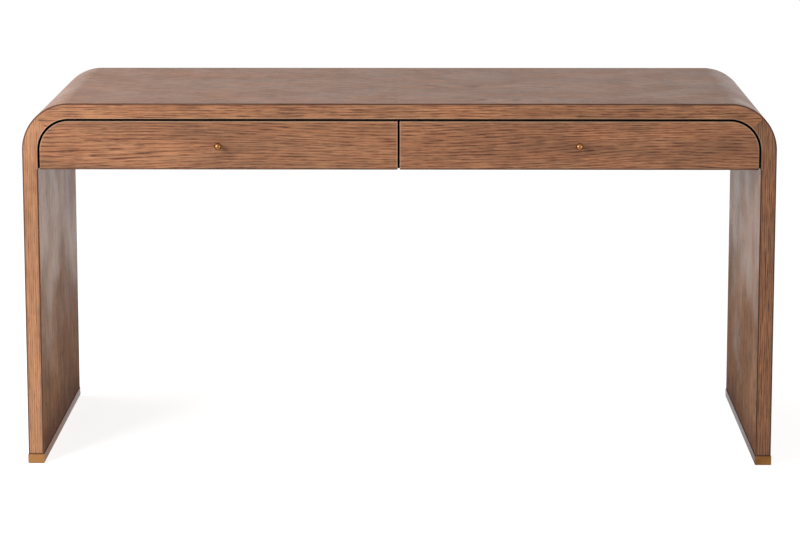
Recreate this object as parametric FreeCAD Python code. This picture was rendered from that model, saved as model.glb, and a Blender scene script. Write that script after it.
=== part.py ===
import FreeCAD, Part
import math
import os

# Writing desk with waterfall corners. Millimetres, +X to the right, +Y to the back, +Z up from the floor.
# The origin is on the floor under the middle of the whole desk, knobs and foot shoes included.

# The oak band: top, bends and slab legs
desk_width = 1600.0
desk_depth = 640.0
desk_height = 784.0
panel_thickness = 33.0
bend_radius = 100.0
edge_thickness = 6.0
edge_easing = 1.0
tongue_thickness = 6.0
tongue_width = 20.0

# Brass shoe under each leg
shoe_height = 20.0
shoe_wall = 1.2
shoe_sole = 3.0
shoe_rounding = 3.0

# Drawer case under the top
case_board = 18.0
case_bottom_board = 12.0
case_setback = 2.0
back_inset = 12.0
back_relief = 3.0

# Drawer fronts, set flush in the band with a dark gap all round
reveal = 4.5
front_height = 103.5
front_thickness = 20.0
front_easing = 0.8

# Drawer boxes
box_board = 12.0
box_floor_clearance = 3.0
box_head_clearance = 12.0
box_rear_clearance = 70.0
box_bottom_board = 6.0
box_bottom_rise = 8.0
groove_depth = 6.0
tail_count = 3
tail_narrow_share = 0.5
tail_wide_share = 0.7

# Telescopic ball slides, one on each side of each drawer box
slide_height = 45.0
slide_width = 12.7
slide_setback = 3.0
slide_end_clearance = 15.0
steel_thickness = 1.2
channel_inner_bevel = 0.8
channel_lip = 1.5
channel_side_clearance = 1.4
ball_diameter = 3.2
ball_cap_share = 0.5
ball_clearance = 0.3
balls_per_row = 3
cage_length = 160.0
cage_thickness = 0.6
cage_clearance = 0.35
cage_rim = 0.5
cage_window_clearance = 0.15

# Ball knobs
knob_projection = 24.0
knob_ball_diameter = 15.5
knob_ball_steps = 10
knob_sides = 24
knob_neck_diameter = 8.0
knob_base_diameter = 10.5
knob_base_thickness = 1.5
knob_screw_diameter = 4.0
knob_screw_depth = 12.0
knob_screw_head_diameter = 8.0
knob_screw_head_height = 2.5

# Dowels and screws. They are many and hidden, so they have six flat sides.
fastener_sides = 6
fastener_clearance = 0.1
dowel_diameter = 6.0
dowel_length = 28.0
dowel_tongue_clearance = 2.5
wood_screw_diameter = 4.0
wood_screw_head_diameter = 8.0
wood_screw_head_height = 2.6
case_screw_length = 35.0
front_screw_length = 25.0
shoe_screw_diameter = 3.5
shoe_screw_head_diameter = 6.5
shoe_screw_head_height = 1.8
shoe_screw_length = 16.0
slide_screw_diameter = 3.5
slide_screw_head_diameter = 6.0
slide_screw_grip_share = 0.7

# Where the fasteners stand, as shares of the length that carries them
three_place_shares = (0.1, 0.5, 0.9)
two_place_shares = (0.2, 0.8)
slide_place_shares = (0.08, 0.92)

# Room for a cutting solid to run past the piece that it cuts
cut_overrun = 1.0

# How near to a face an edge must lie to be taken as one of its edges
face_tolerance = 0.1

# Levels and faces worked out from the sizes above
half_width = desk_width / 2
flat_half = half_width - bend_radius
bend_level = desk_height - bend_radius
inner_half = half_width - panel_thickness
inner_radius = bend_radius - panel_thickness
underside = desk_height - panel_thickness

front_y = (knob_projection - desk_depth - shoe_wall) / 2
back_y = front_y + desk_depth
core_front_y = front_y + edge_thickness
core_back_y = back_y - edge_thickness

front_top = underside - reveal
front_bottom = front_top - front_height
case_floor_top = front_bottom + case_bottom_board
case_front_y = front_y + front_thickness + case_setback
case_back_y = back_y - back_inset - case_board

box_inner_x = case_board / 2 + slide_width
box_outer_x = flat_half - case_board - slide_width
box_front_y = front_y + front_thickness
box_back_y = case_back_y - box_rear_clearance
box_low = case_floor_top + box_floor_clearance
box_high = underside - box_head_clearance
box_bottom_low = box_low + box_bottom_rise

slide_front_y = case_front_y + slide_setback
slide_back_y = box_back_y - slide_end_clearance
slide_level = (box_low + box_high) / 2

knob_x = (reveal / 2 + inner_half - reveal) / 2
knob_level = (front_bottom + front_top) / 2

right = FreeCAD.Vector(1, 0, 0)
back = FreeCAD.Vector(0, 1, 0)
up = FreeCAD.Vector(0, 0, 1)
middle = FreeCAD.Vector(0, 0, 0)


def save(name, *solids):
    """Write one named piece, or one group of like pieces, as a STEP file."""
    shape = solids[0] if len(solids) == 1 else Part.makeCompound(list(solids))
    shape.exportStep("parts/" + name + ".step")


def mirrored(shape):
    """The same piece on the other side of the desk's middle plane."""
    return shape.mirror(middle, right)


def on_side(shape, side):
    """The piece itself for the right side, or its mirror image for the left."""
    return shape if side == "right" else mirrored(shape)


def board(x0, x1, y0, y1, z0, z1):
    """A straight board between two corners."""
    return Part.makeBox(x1 - x0, y1 - y0, z1 - z0, FreeCAD.Vector(x0, y0, z0))


def point(x, z):
    """A place in the front plane."""
    return FreeCAD.Vector(x, 0, z)


def line(a, b):
    return Part.makeLine(a, b)


def arc_about(centre, radius, start_angle, end_angle):
    """An arc in the front plane. Angles are in degrees from +X towards +Z."""
    ends = []
    for angle in (start_angle, (start_angle + end_angle) / 2, end_angle):
        turn = math.radians(angle)
        ends.append(centre + right * (radius * math.cos(turn)) + up * (radius * math.sin(turn)))
    return Part.Arc(*ends).toShape()


def spread(start, end, shares):
    """Places between two ends, at the given shares of the distance."""
    return [start + (end - start) * share for share in shares]


def evenly(start, end, count):
    """Places at equal steps from one end to the other."""
    return [start + (end - start) * step / (count - 1) for step in range(count)]


def many_sided(sections, start, direction, sides=fastener_sides):
    """A turned form with flat sides, from start along direction. Each section is a diameter and its distance."""
    across = right if direction in (up, -up) else up
    other = direction.cross(across)
    rings = []
    for diameter, distance in sections:
        corner_radius = diameter / 2 / math.cos(math.pi / sides)
        ring = []
        for side in range(sides):
            turn = 2 * math.pi * (side + 1 / 2) / sides
            reach = across * (corner_radius * math.cos(turn)) + other * (corner_radius * math.sin(turn))
            ring.append(start + direction * distance + reach)
        rings.append(ring)
    outlines = [rings[0], rings[-1]]
    for near, far in zip(rings, rings[1:]):
        for side in range(sides):
            outlines.append([near[side - 1], near[side], far[side], far[side - 1]])
    faces = [Part.Face(Part.makePolygon(outline + outline[:1])) for outline in outlines]
    return Part.Solid(Part.Shell(faces))


def straight_pin(diameter, length, start, direction):
    return many_sided([(diameter, 0), (diameter, length)], start, direction)


def flat_head_screw(diameter, head_diameter, head_height, length, seat, direction, room=0):
    """A screw whose flat head lies flush at seat. With room it is the hole for that screw."""
    thick = diameter + 2 * room
    wide = head_diameter + 2 * room
    return many_sided([(wide, 0), (thick, head_height), (thick, length + room)], seat, direction)


def screw_set(sizes, seats, direction):
    """The screws of one kind at several seats, and the holes that they need."""
    screws = [flat_head_screw(*sizes, seat, direction) for seat in seats]
    holes = [flat_head_screw(*sizes, seat, direction, fastener_clearance) for seat in seats]
    return screws, holes


def dowel_set(starts, direction):
    """Dowels from their starts along direction, and the holes that they need."""
    wide = dowel_diameter + 2 * fastener_clearance
    dowels = [straight_pin(dowel_diameter, dowel_length, start, direction) for start in starts]
    holes = [straight_pin(wide, dowel_length, start, direction) for start in starts]
    return dowels, holes


# The band and its edges

def band_outline():
    """The U of top, bends and legs, seen from the front."""
    right_bend = point(flat_half, bend_level)
    left_bend = point(-flat_half, bend_level)
    return Part.Wire([
        line(point(-half_width, shoe_sole), point(-half_width, bend_level)),
        arc_about(left_bend, bend_radius, 180, 90),
        line(point(-flat_half, desk_height), point(flat_half, desk_height)),
        arc_about(right_bend, bend_radius, 90, 0),
        line(point(half_width, bend_level), point(half_width, shoe_sole)),
        line(point(half_width, shoe_sole), point(inner_half, shoe_sole)),
        line(point(inner_half, shoe_sole), point(inner_half, bend_level)),
        arc_about(right_bend, inner_radius, 0, 90),
        line(point(flat_half, underside), point(-flat_half, underside)),
        arc_about(left_bend, inner_radius, 90, 180),
        line(point(-inner_half, bend_level), point(-inner_half, shoe_sole)),
        line(point(-inner_half, shoe_sole), point(-half_width, shoe_sole)),
    ])


def solid_from(outline, y0, y1):
    """A flat outline in the front plane, made solid from y0 to y1."""
    face = Part.Face(outline)
    face.translate(back * y0)
    return face.extrude(back * (y1 - y0))


def eased(shape, face_y, easing, seat_level=None):
    """Bevel the edges of the face at face_y, apart from those at seat_level, where the piece meets its seat."""
    edges = []
    for edge in shape.Edges:
        box = edge.BoundBox
        on_face = abs(box.YMin - face_y) < face_tolerance and box.YLength < face_tolerance
        at_seat = seat_level is not None and abs(box.ZMax - seat_level) < face_tolerance
        if on_face and not at_seat:
            edges.append(edge)
    return shape.makeChamfer(easing, edges)


def mitre_tool(y0, y1):
    """The wedge that holds the top edge: its slanted sides halve each bend."""
    reach = bend_radius + cut_overrun
    return solid_from(Part.makePolygon([
        point(flat_half, bend_level),
        point(flat_half + reach, bend_level + reach),
        point(-flat_half - reach, bend_level + reach),
        point(-flat_half, bend_level),
        point(flat_half, bend_level),
    ]), y0, y1)


def edge_lippings(name, y0, y1, face_y):
    """Solid edges round the band, in three pieces mitred in the middle of each bend."""
    whole = eased(solid_from(band_outline(), y0, y1), face_y, edge_easing, shoe_sole)
    wedge = mitre_tool(y0, y1)
    save(name + "_edge_top", whole.common(wedge))
    sides = sorted(whole.cut(wedge).Solids, key=lambda solid: solid.CenterOfMass.x)
    save(name + "_edge_left", sides[0])
    save(name + "_edge_right", sides[-1])


def corner_tongues():
    """Loose tongues in the two joints of the right bend."""
    top_middle = desk_height - panel_thickness / 2
    leg_middle = half_width - panel_thickness / 2
    flat = tongue_width / 2
    thin = tongue_thickness / 2
    top_tongue = board(flat_half - flat, flat_half + flat, core_front_y, core_back_y,
                       top_middle - thin, top_middle + thin)
    leg_tongue = board(leg_middle - thin, leg_middle + thin, core_front_y, core_back_y,
                       bend_level - flat, bend_level + flat)
    return [top_tongue, leg_tongue]


def corner_bend():
    """The right bend, a quarter of a ring."""
    centre = point(flat_half, bend_level)
    outline = Part.Wire([
        line(point(flat_half, underside), point(flat_half, desk_height)),
        arc_about(centre, bend_radius, 90, 0),
        line(point(half_width, bend_level), point(inner_half, bend_level)),
        arc_about(centre, inner_radius, 0, 90),
    ])
    return solid_from(outline, core_front_y, core_back_y)


def foot_shoe():
    """The right brass shoe: a low tray with rounded lower corners, round the foot of the leg."""
    low_half = panel_thickness / 2 + shoe_wall
    leg_middle = half_width - panel_thickness / 2
    body = board(leg_middle - low_half, leg_middle + low_half, front_y - shoe_wall, back_y + shoe_wall,
                 0, shoe_height)
    lower = [edge for edge in body.Edges if edge.BoundBox.ZMax < face_tolerance]
    body = body.makeFillet(shoe_rounding, lower)
    return body.cut(board(inner_half, half_width, front_y, back_y, shoe_sole, shoe_height + cut_overrun))


# The telescopic slides. Each is drawn at the middle plane, from the case board at x = 0 towards the drawer box.

slide_top = slide_height / 2
race_top = slide_top - steel_thickness
ball_row = race_top - ball_clearance - ball_diameter / 2
middle_top = ball_row - ball_diameter / 2 - ball_clearance
inner_race_top = middle_top - steel_thickness
inner_ball_row = inner_race_top - ball_clearance - ball_diameter / 2
drawer_top = inner_ball_row - ball_diameter / 2 - ball_clearance

cage_gap = cage_thickness + 2 * cage_clearance
middle_web = steel_thickness + cage_gap
middle_end = slide_width - channel_side_clearance
race_width = middle_end - middle_web - 2 * steel_thickness
channel_outer_bevel = channel_inner_bevel + steel_thickness


def bevelled_bar(x0, x1, half_height, bevel, y0, y1):
    """A bar with bevelled long edges, level with the middle of the slide."""
    bar = board(x0, x1, y0, y1, -half_height, half_height)
    long_edges = [edge for edge in bar.Edges if edge.BoundBox.YLength > edge.BoundBox.DiagonalLength / 2]
    return bar.makeChamfer(bevel, long_edges)


def lipped_channel(web_x, half_height, y0, y1):
    """A steel channel open towards the drawer, with lips that keep the balls in."""
    race_end = web_x + steel_thickness + race_width
    shell = bevelled_bar(web_x, race_end + steel_thickness, half_height, channel_outer_bevel, y0, y1)
    inner_half_height = half_height - steel_thickness
    mouth = inner_half_height - channel_lip
    past = cut_overrun
    hollow = bevelled_bar(web_x + steel_thickness, race_end, inner_half_height, channel_inner_bevel,
                         y0 - past, y1 + past)
    opening = board(race_end - channel_inner_bevel, race_end + steel_thickness + past, y0 - past, y1 + past,
                    -mouth, mouth)
    return shell.cut([hollow, opening])


def drawer_channel(y0, y1):
    """The steel channel on the drawer box, open towards the case."""
    tip_x = middle_web + steel_thickness + cage_gap
    past = cut_overrun
    shell = board(tip_x, slide_width, y0, y1, -drawer_top, drawer_top)
    hollow = board(tip_x - past, slide_width - steel_thickness, y0 - past, y1 + past,
                   steel_thickness - drawer_top, drawer_top - steel_thickness)
    web_edges = [edge for edge in shell.Edges
                 if edge.BoundBox.YLength > edge.BoundBox.DiagonalLength / 2
                 and edge.BoundBox.XMax > slide_width - steel_thickness]
    return shell.makeChamfer(channel_outer_bevel, web_edges).cut(hollow)


def ball_solid(centre):
    """A small ball with flat facets, widest in the middle."""
    cap = ball_diameter * ball_cap_share
    sections = [(cap, 0), (ball_diameter, ball_diameter / 2), (cap, ball_diameter)]
    return many_sided(sections, centre - up * (ball_diameter / 2), up)


def ball_cage(web_x, race_x, row_level, y0, y1):
    """A folded strip that keeps two rows of balls apart, with the balls in it."""
    half_thickness = cage_thickness / 2
    rim_x = race_x + race_width - cage_clearance
    window = ball_diameter / 2 + cage_window_clearance
    ball_x = rim_x - cage_rim - window
    top = row_level + half_thickness
    strip = board(web_x, rim_x, y0, y1, -top, top)
    past = cut_overrun
    strip = strip.cut(board(web_x + cage_thickness, rim_x + past, y0 - past, y1 + past,
                            cage_thickness - top, top - cage_thickness))
    balls = []
    windows = []
    end_margin = 2 * ball_diameter
    for level in (-row_level, row_level):
        for y in evenly(y0 + end_margin, y1 - end_margin, balls_per_row):
            balls.append(ball_solid(FreeCAD.Vector(ball_x, y, level)))
            windows.append(board(ball_x - window, ball_x + window, y - window, y + window,
                                 level - half_thickness - past, level + half_thickness + past))
    return [strip.cut(windows)] + balls


def slide_pieces():
    """All pieces of one slide, with the holes that its screws need in the boards on both sides."""
    y0 = slide_front_y
    y1 = slide_back_y
    middle_y = (y0 + y1) / 2
    cage_y0 = middle_y - cage_length / 2
    cage_y1 = middle_y + cage_length / 2
    grip = slide_screw_grip_share * min(case_board / 2, box_board)
    sizes = (slide_screw_diameter, slide_screw_head_diameter, steel_thickness, steel_thickness + grip)
    places = spread(y0, y1, slide_place_shares)
    case_seats = [FreeCAD.Vector(steel_thickness, y, 0) for y in places]
    drawer_seats = [FreeCAD.Vector(slide_width - steel_thickness, y, 0) for y in places]
    case_screws, case_holes = screw_set(sizes, case_seats, -right)
    drawer_screws, drawer_holes = screw_set(sizes, drawer_seats, right)
    return {
        "case_channel": [lipped_channel(0, slide_top, y0, y1).cut(case_holes)],
        "middle_channel": [lipped_channel(middle_web, middle_top, y0, y1)],
        "drawer_channel": [drawer_channel(y0, y1).cut(drawer_holes)],
        "case_cage": ball_cage(steel_thickness + cage_clearance, steel_thickness, ball_row,
                               cage_y0, cage_y1),
        "drawer_cage": ball_cage(middle_web + steel_thickness + cage_clearance,
                                 middle_web + steel_thickness, inner_ball_row, cage_y0, cage_y1),
        "case_screws": case_screws,
        "case_holes": case_holes,
        "drawer_screws": drawer_screws,
        "drawer_holes": drawer_holes,
    }


def placed_slide(pieces, place):
    """Bring a slide to the inner or outer side of the right drawer box."""
    moved = {}
    for name, solids in pieces.items():
        if place == "inner":
            seat_x = case_board / 2
        else:
            solids = [mirrored(solid) for solid in solids]
            seat_x = flat_half - case_board
        moved[name] = [solid.translated(FreeCAD.Vector(seat_x, 0, slide_level)) for solid in solids]
    return moved


# The drawers. Each function makes the right drawer's piece.

def drawer_front():
    """The oak front: its outer upper corner follows the bend at the width of the gap."""
    inner_x = reveal / 2
    outer_x = inner_half - reveal
    corner_radius = inner_radius - reveal
    outline = Part.Wire([
        line(point(inner_x, front_bottom), point(inner_x, front_top)),
        line(point(inner_x, front_top), point(flat_half, front_top)),
        arc_about(point(flat_half, bend_level), corner_radius, 90, 0),
        line(point(outer_x, bend_level), point(outer_x, front_bottom)),
        line(point(outer_x, front_bottom), point(inner_x, front_bottom)),
    ])
    front = solid_from(outline, front_y, front_y + front_thickness)
    return eased(front, front_y, front_easing)


def tail_wedges(x0, x1, joint_y, away):
    """Dovetails of one box side at one corner: narrow at the joint line and wide at the end of the side."""
    pitch = (box_high - box_low) / tail_count
    tails = []
    for step in range(tail_count):
        level = box_low + pitch * (step + 1 / 2)
        narrow = pitch * tail_narrow_share / 2
        wide = pitch * tail_wide_share / 2
        end_y = joint_y + away * box_board
        tail = Part.Face(Part.makePolygon([
            FreeCAD.Vector(x0, joint_y, level - narrow),
            FreeCAD.Vector(x0, end_y, level - wide),
            FreeCAD.Vector(x0, end_y, level + wide),
            FreeCAD.Vector(x0, joint_y, level + narrow),
            FreeCAD.Vector(x0, joint_y, level - narrow),
        ]))
        tails.append(tail.extrude(right * (x1 - x0)))
    return tails


def drawer_box():
    """The dovetailed box: two sides with tails, a box front and a back with pins, and a bottom in grooves."""
    inner_front = box_front_y + box_board
    inner_back = box_back_y - box_board
    sides = {}
    all_tails = []
    for name, x0 in (("inner", box_inner_x), ("outer", box_outer_x - box_board)):
        x1 = x0 + box_board
        tails = tail_wedges(x0, x1, inner_front, -1) + tail_wedges(x0, x1, inner_back, 1)
        sides[name] = board(x0, x1, inner_front, inner_back, box_low, box_high).fuse(tails)
        all_tails += tails
    box_front = board(box_inner_x, box_outer_x, box_front_y, inner_front, box_low, box_high)
    box_back = board(box_inner_x, box_outer_x, inner_back, box_back_y, box_low, box_high)
    reach = box_board - groove_depth
    bottom = board(box_inner_x + reach, box_outer_x - reach, box_front_y + reach, box_back_y - reach,
                   box_bottom_low, box_bottom_low + box_bottom_board)
    return {
        "box_front": box_front.cut(all_tails + [bottom]),
        "box_back": box_back.cut(all_tails + [bottom]),
        "box_inner_side": sides["inner"].cut(bottom).removeSplitter(),
        "box_outer_side": sides["outer"].cut(bottom).removeSplitter(),
        "box_bottom": bottom,
    }


def knob():
    """A turned brass knob: a thin base, a short neck and a ball. Flat sides go round it in both directions."""
    ball_radius = knob_ball_diameter / 2
    neck_radius = knob_neck_diameter / 2
    ball_middle = knob_projection - ball_radius
    neck_end = ball_middle - math.sqrt(ball_radius ** 2 - neck_radius ** 2)
    step = math.pi / knob_ball_steps
    corner_radius = ball_radius / math.cos(step / 2)
    sections = [
        (knob_base_diameter, 0),
        (knob_base_diameter, knob_base_thickness),
        (knob_neck_diameter, knob_base_thickness),
        (knob_neck_diameter, neck_end),
    ]
    for count in range(knob_ball_steps):
        turn = step * (count + 1 / 2)
        ring_radius = corner_radius * math.sin(turn)
        distance = ball_middle - corner_radius * math.cos(turn)
        if distance > neck_end:
            sections.append((2 * ring_radius, distance))
    return many_sided(sections, FreeCAD.Vector(knob_x, front_y, knob_level), -back, knob_sides)


def knob_screw(room=0):
    """The machine screw from inside the drawer into the knob. With room it is the hole for it."""
    head_y = box_front_y + box_board
    tip_y = front_y - knob_screw_depth - room
    shank = straight_pin(knob_screw_diameter + 2 * room, head_y - tip_y,
                         FreeCAD.Vector(knob_x, head_y, knob_level), -back)
    if room:
        return shank
    head = straight_pin(knob_screw_head_diameter, knob_screw_head_height,
                        FreeCAD.Vector(knob_x, head_y, knob_level), back)
    return shank.fuse(head)


def wood_screw_sizes(length):
    return (wood_screw_diameter, wood_screw_head_diameter, wood_screw_head_height, length)


def build_drawer(side):
    """One drawer with its slides, made on the right and mirrored for the left. Returns what the case needs."""
    front_seats = []
    for x in spread(box_inner_x, box_outer_x, two_place_shares):
        front_seats.append(FreeCAD.Vector(x, box_front_y + box_board, slide_level))
    front_screws, front_holes = screw_set(wood_screw_sizes(front_screw_length), front_seats, -back)

    slides = {place: placed_slide(slide_pieces(), place) for place in ("inner", "outer")}
    box = drawer_box()
    for place in slides:
        key = "box_" + place + "_side"
        box[key] = box[key].cut(slides[place]["drawer_holes"])
    box["box_front"] = box["box_front"].cut([knob_screw(fastener_clearance)] + front_holes)

    drawer = side + "_drawer_"
    save(drawer + "front", on_side(drawer_front().cut([knob_screw(fastener_clearance)] + front_holes), side))
    for name, shape in box.items():
        save(drawer + name, on_side(shape, side))
    save(drawer + "knob", on_side(knob().cut(knob_screw(fastener_clearance)), side))
    save(drawer + "knob_screw", on_side(knob_screw(), side))
    save(drawer + "front_screws", *[on_side(screw, side) for screw in front_screws])
    for place, pieces in slides.items():
        for name in ("case_channel", "middle_channel", "drawer_channel"):
            save(drawer + place + "_" + name, on_side(pieces[name][0], side))
    for name in ("case_cage", "drawer_cage"):
        both = slides["inner"][name] + slides["outer"][name]
        save(drawer + name + "s", *[on_side(solid, side) for solid in both])
    both = slides["inner"]["drawer_screws"] + slides["outer"]["drawer_screws"]
    save(drawer + "channel_screws", *[on_side(screw, side) for screw in both])
    return slides


def build_band():
    """The oak band, its edges, its tongues and the dowel holes in it."""
    edge_lippings("front", front_y, core_front_y, front_y)
    edge_lippings("rear", core_back_y, back_y, back_y)
    tongues = corner_tongues()
    all_tongues = tongues + [mirrored(tongue) for tongue in tongues]
    save("corner_tongues", *all_tongues)
    save("right_corner_bend", corner_bend().cut(tongues))
    save("left_corner_bend", mirrored(corner_bend().cut(tongues)))
    top = board(-flat_half, flat_half, core_front_y, core_back_y, underside, desk_height)
    save("top_panel", top.cut(all_tongues + top_dowels[1]))
    leg = board(inner_half, half_width, core_front_y, core_back_y, shoe_sole, bend_level)
    leg = leg.cut(tongues + leg_dowels[1] + shoe_screws[1])
    save("right_leg_panel", leg)
    save("left_leg_panel", mirrored(leg))
    shoe = foot_shoe().cut(shoe_screws[1])
    save("right_foot_shoe", shoe)
    save("left_foot_shoe", mirrored(shoe))
    save("shoe_screws", *shoe_screws[0], *[mirrored(screw) for screw in shoe_screws[0]])


def build_case(slides):
    """The drawer case: sides, divider, bottom and back, with dowels and screws."""
    side_board = board(flat_half - case_board, flat_half, case_front_y, case_back_y, case_floor_top, underside)
    side_board = side_board.cut(top_dowels[1] + case_screws[1] + back_screws[1] + slides["outer"]["case_holes"])
    save("right_case_side", side_board)
    save("left_case_side", mirrored(side_board))

    divider_holes = slides["inner"]["case_holes"]
    divider = board(-case_board / 2, case_board / 2, case_front_y, case_back_y, case_floor_top, underside)
    divider = divider.cut(top_dowels[1] + case_screws[1] + back_screws[1] + divider_holes
                          + [mirrored(hole) for hole in divider_holes])
    save("centre_divider", divider)

    bottom = board(-inner_half, inner_half, case_front_y, case_back_y, front_bottom, case_floor_top)
    left_leg_holes = [mirrored(hole) for hole in leg_dowels[1]]
    save("case_bottom", bottom.cut(case_screws[1] + leg_dowels[1] + left_leg_holes))

    corner_radius = inner_radius + back_relief
    outline = Part.Wire([
        line(point(-inner_half, front_bottom), point(-inner_half, underside - corner_radius)),
        arc_about(point(corner_radius - inner_half, underside - corner_radius), corner_radius, 180, 90),
        line(point(corner_radius - inner_half, underside), point(inner_half - corner_radius, underside)),
        arc_about(point(inner_half - corner_radius, underside - corner_radius), corner_radius, 90, 0),
        line(point(inner_half, underside - corner_radius), point(inner_half, front_bottom)),
        line(point(inner_half, front_bottom), point(-inner_half, front_bottom)),
    ])
    save("back_panel", solid_from(outline, case_back_y, case_back_y + case_board).cut(back_screws[1]))

    case_dowels = top_dowels[0] + leg_dowels[0] + [mirrored(dowel) for dowel in leg_dowels[0]]
    save("case_dowels", *case_dowels)
    save("case_screws", *case_screws[0], *back_screws[0])
    rails = slides["inner"]["case_screws"] + slides["outer"]["case_screws"]
    save("case_channel_screws", *rails, *[mirrored(screw) for screw in rails])


# Fasteners that pass through more than one piece

upright_middles = (-(flat_half - case_board / 2), 0, flat_half - case_board / 2)
upright_depths = spread(case_front_y, case_back_y, three_place_shares)

dowel_top = desk_height - panel_thickness / 2 - tongue_thickness / 2 - dowel_tongue_clearance

top_dowels = dowel_set(
    [FreeCAD.Vector(x, y, dowel_top - dowel_length) for x in upright_middles for y in upright_depths], up)
leg_dowels = dowel_set(
    [FreeCAD.Vector(inner_half - dowel_length / 2, y, (front_bottom + case_floor_top) / 2)
     for y in upright_depths], right)
case_screws = screw_set(
    wood_screw_sizes(case_screw_length),
    [FreeCAD.Vector(x, y, front_bottom)
     for x in upright_middles for y in spread(case_front_y, case_back_y, two_place_shares)], up)
back_screws = screw_set(
    wood_screw_sizes(case_screw_length),
    [FreeCAD.Vector(x, case_back_y + case_board, z)
     for x in upright_middles for z in spread(case_floor_top, underside, two_place_shares)], -back)
shoe_screws = screw_set(
    (shoe_screw_diameter, shoe_screw_head_diameter, shoe_screw_head_height, shoe_screw_length),
    [FreeCAD.Vector(half_width - panel_thickness / 2, y, 0)
     for y in spread(front_y, back_y, three_place_shares)], up)

os.makedirs("parts", exist_ok=True)
build_band()
for side in ("left", "right"):
    case_slides = build_drawer(side)
build_case(case_slides)
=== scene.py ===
# %% [markdown]
# # A waterfall desk in brushed oak
# The desk is one band of oak veneer that runs up a leg, round a bend, across the top and down again. Two
# drawers hang in it, and each leg stands in a brass shoe. The solids come from the CAD model as a fixed
# frame. Here they get rounder edges, turned brass and real finishes.

# %% Load the frame
import math
from collections import namedtuple

import bmesh
import bpy
from mathutils import Matrix, Vector


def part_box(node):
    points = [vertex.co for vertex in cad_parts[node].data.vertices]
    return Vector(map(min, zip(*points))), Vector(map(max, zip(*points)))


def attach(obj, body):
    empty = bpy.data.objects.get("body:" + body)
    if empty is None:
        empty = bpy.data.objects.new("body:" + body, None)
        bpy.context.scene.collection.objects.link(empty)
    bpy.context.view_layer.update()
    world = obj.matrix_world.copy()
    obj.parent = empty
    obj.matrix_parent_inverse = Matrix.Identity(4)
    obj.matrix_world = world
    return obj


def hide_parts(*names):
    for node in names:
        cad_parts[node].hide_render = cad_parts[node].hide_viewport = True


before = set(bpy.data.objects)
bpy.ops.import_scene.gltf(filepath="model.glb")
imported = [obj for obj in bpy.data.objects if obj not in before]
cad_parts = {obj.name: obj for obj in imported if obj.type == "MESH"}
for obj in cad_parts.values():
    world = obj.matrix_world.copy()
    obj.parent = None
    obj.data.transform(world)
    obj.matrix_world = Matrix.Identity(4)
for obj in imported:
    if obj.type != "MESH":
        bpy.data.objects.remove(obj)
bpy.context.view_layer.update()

# %% [markdown]
# ## The sizes of the band
# Sizes are read off the solids here, because typed ones go wrong when the CAD changes. The top panel says
# how thick the band is and where the bends begin, and the lippings say where its front and back faces
# lie. A bend is a quarter of a circle, and its radius is how far the leg stands out past the top panel.

# %% Read the sizes of the band
top_low, top_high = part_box("top_panel")
leg_low, leg_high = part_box("right_leg_panel")
front_lip_low, front_lip_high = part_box("front_edge_top")
rear_lip_low, rear_lip_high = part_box("rear_edge_top")

flat_half = top_high.x
bend_level = leg_high.z
bend_radius = leg_high.x - flat_half
thickness = top_high.z - top_low.z
foot_level = leg_low.z
front_y, core_front_y = front_lip_low.y, front_lip_high.y
core_back_y, back_y = rear_lip_low.y, rear_lip_high.y
quarter_turn = math.pi / 2
bend_length = bend_radius * quarter_turn
print("bend radius", round(bend_radius, 4), "thickness", round(thickness, 4), "front at", round(front_y, 4))

# %% [markdown]
# ## Sums in node trees
# Finishes and repeating shapes both come from node trees, and most of the work in them is plain
# arithmetic. A Math node for every plus sign is hard to read, so a small class wraps a wire. Python calls
# its method __add__ where it meets a plus sign, and so on, and a rule reads as it would on paper.

# %% Wires and sums
class Wire:
    """What one socket gives to others. A sum with it adds a Math node, and gives back the answer's wire."""

    def __init__(self, socket):
        self.socket = socket
        self.id_data = socket.id_data

    def __abs__(self):
        return calc("ABSOLUTE", self)

    def __add__(self, other):
        return calc("ADD", self, other)

    def __sub__(self, other):
        return calc("SUBTRACT", self, other)

    def __rsub__(self, other):
        return calc("SUBTRACT", other, self)

    def __mul__(self, other):
        return calc("MULTIPLY", self, other)

    def __truediv__(self, other):
        return calc("DIVIDE", self, other)

    def __lt__(self, other):
        return calc("LESS_THAN", self, other)

    def __gt__(self, other):
        return calc("GREATER_THAN", self, other)

print("wires can be added, subtracted, multiplied, divided and compared")

# %% [markdown]
# ## Adding nodes
# These calls build every tree below. A socket that is given a number or a colour gets it, and a socket
# that is given a wire or a node is joined to it.

# %% Add and feed nodes
def feed(node, sockets):
    """Set sockets of a node, or join them to what they are given. A node stands for its first output."""
    for key, value in sockets.items():
        if isinstance(value, Wire):
            value = value.socket
        if isinstance(value, bpy.types.Node):
            value = value.outputs[0]
        if isinstance(value, bpy.types.NodeSocket):
            node.id_data.links.new(value, node.inputs[key])
        else:
            node.inputs[key].default_value = value


def add_node(tree, kind, sockets=None, **settings):
    """Add one node, with its settings and its sockets."""
    made = tree.nodes.new(kind)
    for key, value in settings.items():
        setattr(made, key, value)
    feed(made, sockets or {})
    return made


def tree_of(*values):
    """The node tree of the wires and nodes among some values. Blender keeps it in each as id_data."""
    return next(value.id_data for value in values if hasattr(value, "id_data"))


def calc(operation, *values):
    """One Math node, fed with wires and plain numbers."""
    made = add_node(tree_of(*values), "ShaderNodeMath", dict(enumerate(values)), operation=operation)
    return Wire(made.outputs[0])

print("the three calls that build every tree are ready")

# %% [markdown]
# ## Places and clouds
# The same few steps come back in every finish: take a place apart, ease from one number to another, lay a
# cloud of noise. Places are the object's own, in metres, so a pattern keeps its real size and stays on
# the wood when a drawer moves.

# %% Places and clouds
def object_place(tree):
    """The point of the desk that is being coloured."""
    return Wire(add_node(tree, "ShaderNodeTexCoord").outputs["Object"])


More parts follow.
